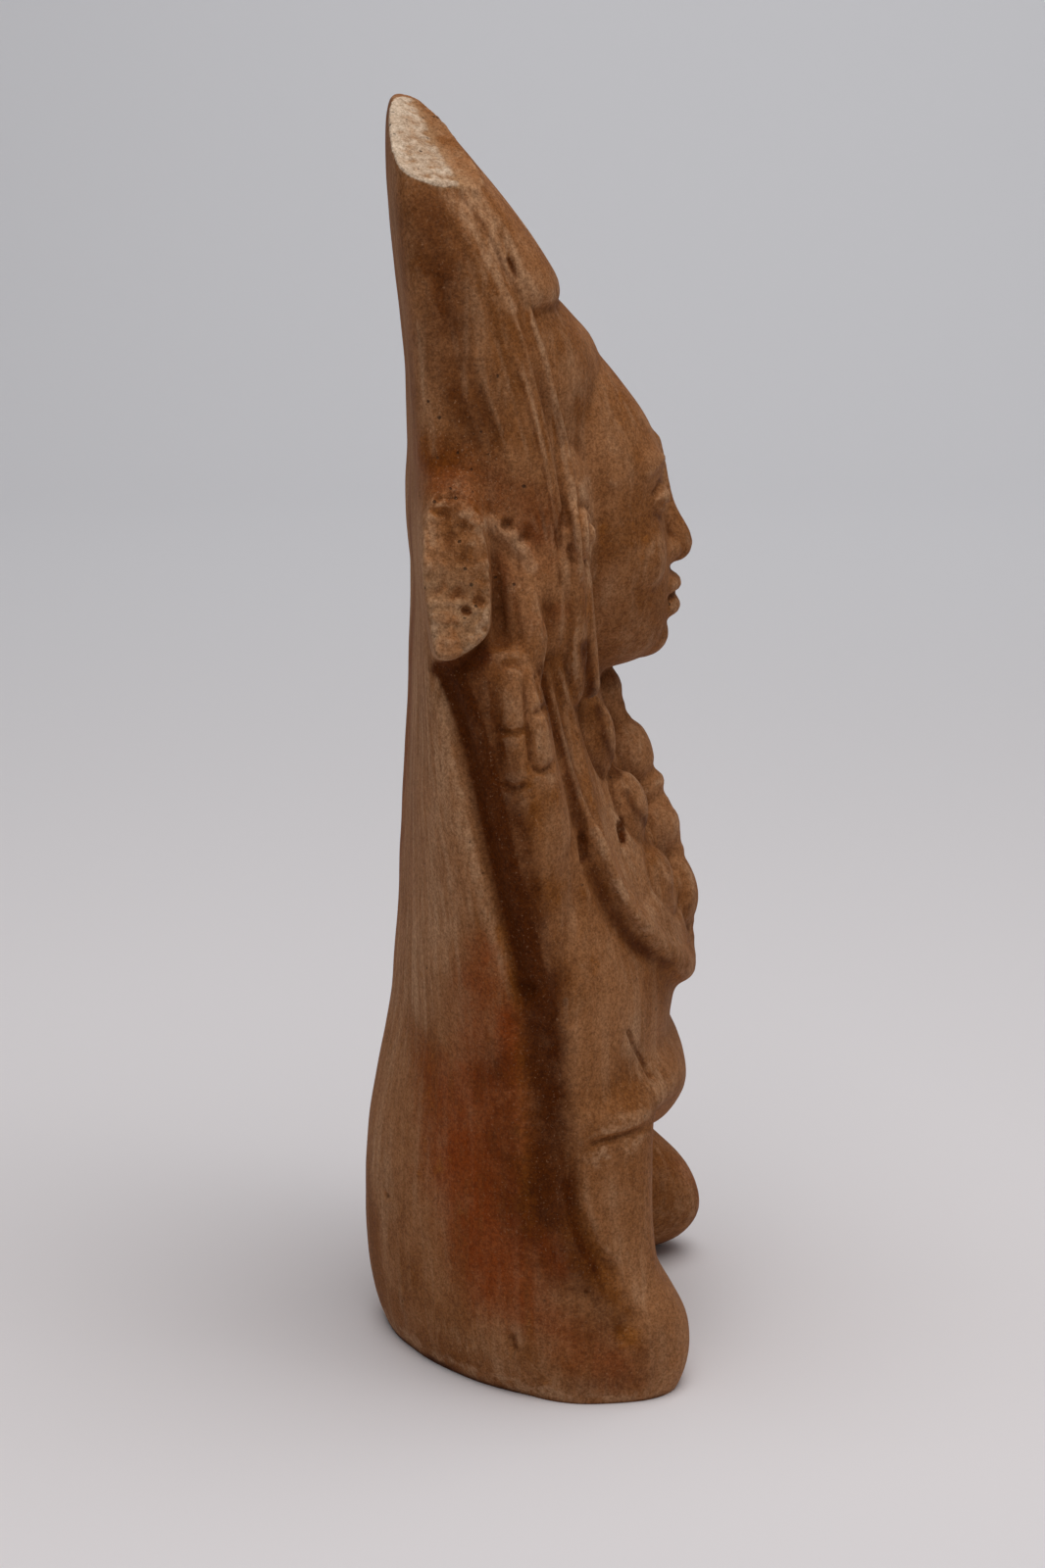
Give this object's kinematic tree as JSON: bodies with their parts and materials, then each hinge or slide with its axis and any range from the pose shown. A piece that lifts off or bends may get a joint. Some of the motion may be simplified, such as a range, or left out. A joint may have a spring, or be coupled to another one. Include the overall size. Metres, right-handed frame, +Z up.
{
  "type": "terracotta figure rattle",
  "caption": "Mould-made terracotta rattle: a standing figure with a tall headdress, a collar of beads, raised hands and a plain rounded back.",
  "frame": {"origin": "middle of the figure's width and depth, on the plane that it stands on", "axes": "+Z up along the figure's height; the figure faces -Y, so +X is its left side"},
  "size_m": [0.093, 0.0606, 0.2049],
  "materials": {
    "terracotta": "low-fired unglazed clay, worn matt with a faint burnish and a dusty film"
  },
  "bodies": {
    "root": {"figure_rattle": "terracotta"}
  },
  "joints": []
}
